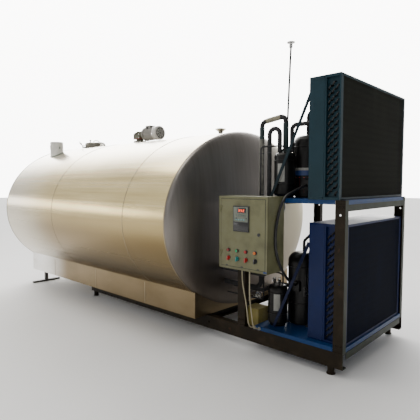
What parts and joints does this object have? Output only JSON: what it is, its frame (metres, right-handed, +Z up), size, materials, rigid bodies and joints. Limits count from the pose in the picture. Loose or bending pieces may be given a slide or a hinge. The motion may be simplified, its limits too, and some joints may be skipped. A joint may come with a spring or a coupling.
{
  "type": "bulk milk tank",
  "caption": "Horizontal oval bulk milk tank with insulated stainless shell, manhole, agitator, base frame and an end rack carrying air-cooled condensing units and a control cabinet.",
  "frame": {"origin": "on the floor under the middle of the whole machine (its free cables left out), on the tank's centre plane", "axes": "+X along the tank from its rear head towards the cooling rack, +Z up, -Y the side the control cabinet faces"},
  "size_m": [4.89, 2.268, 2.646],
  "materials": {
    "stainless": "brushed, satin",
    "stainless_plain": "satin",
    "foam": "matt",
    "frame_brown": "worn satin",
    "frame_green": "worn satin",
    "tray_blue": "satin",
    "casing_teal": "satin",
    "casing_blue": "satin",
    "fins": "matt black",
    "black_metal": "satin",
    "black_plastic": "matt",
    "insulation_tube": "matt",
    "gearbox_paint": "satin",
    "motor_alu": "satin",
    "cabinet_beige": "textured satin",
    "rubber_black": "matt",
    "white_plastic": "semi-gloss",
    "grey_plastic": "matt",
    "galvanised": "zinc",
    "lamp": "gloss",
    "knob_red": "satin",
    "knob_teal": "satin",
    "knob_black": "satin",
    "cable_black": "matt",
    "cable_cream": "matt",
    "junction_yellow": "satin"
  },
  "bodies": {
    "tank": {"inner_vessel": "stainless_plain", "evaporator_plate": "stainless_plain", "insulation": "foam", "shell_cladding": "stainless", "outer_heads": "stainless", "skirt_panels": "stainless", "saddles": "stainless_plain", "base_frame": "frame_brown", "support_feet": "frame_brown", "rear_legs": "stainless_plain", "rack_frame": "frame_brown", "upper_tray": "tray_blue", "lower_tray": "tray_blue", "manhole_neck": "stainless_plain", "tank_nozzles": "stainless_plain", "outlet_valve": "stainless_plain", "gearbox": "gearbox_paint", "agitator_motor": "motor_alu", "motor_fan_cover": "motor_alu", "fan_guards": "black_metal", "receivers": "black_metal", "pipes_upper": "insulation_tube", "pipes_lower": "insulation_tube", "cabinet_shell": "cabinet_beige", "contactor_panel": "grey_plastic", "cable_glands": "grey_plastic", "junction_box": "junction_yellow", "supply_cable": "cable_black", "ceiling_hook": "galvanised", "condenser_core_lower": "fins", "condenser_core_upper": "fins", "condenser_casing_lower": "casing_blue", "condenser_casing_upper": "casing_teal", "compressor_lower": "black_metal", "compressor_upper": "black_metal", "compressor_cable": "cable_black", "cabinet_cable_1": "cable_cream", "cabinet_cable_2": "cable_cream"},
    "manhole_lid": {"manhole_lid": "stainless_plain", "lid_gasket": "rubber_black"},
    "lid_clamp": {"lid_swing_bolt": "stainless_plain"},
    "vent_cap": {"vent_cap": "stainless_plain"},
    "inlet_cup": {"inlet_cup": "white_plastic"},
    "agitator": {"agitator_shaft": "stainless_plain"},
    "motor_fan": {"motor_fan": "black_plastic"},
    "outlet_lever": {"outlet_valve_lever": "stainless_plain"},
    "fan_lower_near": {"fan_lower_near": "black_plastic"},
    "fan_lower_far": {"fan_lower_far": "black_plastic"},
    "fan_upper_near": {"fan_upper_near": "black_plastic"},
    "fan_upper_far": {"fan_upper_far": "black_plastic"},
    "cabinet_door": {"cabinet_door": "cabinet_beige", "controller": "grey_plastic", "pilot_lights": "lamp"},
    "door_lock": {"door_lock": "black_metal"},
    "button_left": {"button_left": "rubber_black"},
    "button_right": {"button_right": "rubber_black"},
    "selector_knob_1": {"selector_knob_1": "knob_red"},
    "selector_knob_2": {"selector_knob_2": "knob_teal"},
    "selector_knob_3": {"selector_knob_3": "knob_red"},
    "selector_knob_4": {"selector_knob_4": "knob_black"}
  },
  "joints": [
    {"name": "manhole_lid_hinge", "type": "hinge", "parent": "tank", "child": "manhole_lid", "pos_m": [-1.86, 0.185, 1.995], "axis": [-1, 0, 0], "range_deg": [0, 100]},
    {"name": "lid_clamp_swing", "type": "hinge", "parent": "tank", "child": "lid_clamp", "pos_m": [-1.86, -0.185, 1.975], "axis": [1, 0, 0], "range_deg": [-36, 40]},
    {"name": "vent_cap_lift", "type": "slide", "parent": "tank", "child": "vent_cap", "axis": [0, 0, 1], "range_m": [0, 0.05]},
    {"name": "inlet_cup_lift", "type": "slide", "parent": "tank", "child": "inlet_cup", "axis": [0, 0, 1], "range_m": [0, 0.2]},
    {"name": "agitator_spin", "type": "hinge", "parent": "tank", "child": "agitator", "pos_m": [-0.74, 0, 1], "axis": [0, 0, 1], "continuous": true},
    {"name": "motor_fan_spin", "type": "hinge", "parent": "tank", "child": "motor_fan", "pos_m": [-0.4, 0, 2.079], "axis": [1, 0, 0], "continuous": true},
    {"name": "outlet_lever_turn", "type": "hinge", "parent": "tank", "child": "outlet_lever", "pos_m": [1.202, 0, 0.285], "axis": [0, 0, 1], "range_deg": [0, 90]},
    {"name": "cabinet_door_hinge", "type": "hinge", "parent": "tank", "child": "cabinet_door", "pos_m": [1.453, -0.852, 1], "axis": [0, 0, -1], "range_deg": [0, 115]},
    {"name": "door_lock_turn", "type": "hinge", "parent": "cabinet_door", "child": "door_lock", "pos_m": [1.847, -0.848, 1.04], "axis": [0, -1, 0], "range_deg": [0, 90]},
    {"name": "fan_lower_near_spin", "type": "hinge", "parent": "tank", "child": "fan_lower_near", "pos_m": [2.124, -0.2825, 0.6792], "axis": [1, 0, 0], "continuous": true},
    {"name": "fan_lower_far_spin", "type": "hinge", "parent": "tank", "child": "fan_lower_far", "pos_m": [2.124, 0.2825, 0.6792], "axis": [1, 0, 0], "continuous": true},
    {"name": "fan_upper_near_spin", "type": "hinge", "parent": "tank", "child": "fan_upper_near", "pos_m": [2.158, -0.325, 1.7732], "axis": [1, 0, 0], "continuous": true},
    {"name": "fan_upper_far_spin", "type": "hinge", "parent": "tank", "child": "fan_upper_far", "pos_m": [2.158, 0.325, 1.7732], "axis": [1, 0, 0], "continuous": true},
    {"name": "button_left_press", "type": "slide", "parent": "cabinet_door", "child": "button_left", "axis": [0, 1, 0], "range_m": [0, 0.002], "stiffness_N_per_m": 400, "springref_m": -0.0005},
    {"name": "button_right_press", "type": "slide", "parent": "cabinet_door", "child": "button_right", "axis": [0, 1, 0], "range_m": [0, 0.002], "stiffness_N_per_m": 400, "springref_m": -0.0005},
    {"name": "selector_knob_1_turn", "type": "hinge", "parent": "cabinet_door", "child": "selector_knob_1", "pos_m": [1.541, -0.86, 0.829], "axis": [0, 1, 0], "range_deg": [-45, 45]},
    {"name": "selector_knob_2_turn", "type": "hinge", "parent": "cabinet_door", "child": "selector_knob_2", "pos_m": [1.632, -0.86, 0.829], "axis": [0, 1, 0], "range_deg": [-45, 45]},
    {"name": "selector_knob_3_turn", "type": "hinge", "parent": "cabinet_door", "child": "selector_knob_3", "pos_m": [1.723, -0.86, 0.829], "axis": [0, 1, 0], "range_deg": [-45, 45]},
    {"name": "selector_knob_4_turn", "type": "hinge", "parent": "cabinet_door", "child": "selector_knob_4", "pos_m": [1.814, -0.86, 0.829], "axis": [0, 1, 0], "range_deg": [-45, 45]}
  ],
  "couplings": [
    {"joint": "motor_fan_spin", "follows": "agitator_spin", "ratio": 30}
  ]
}
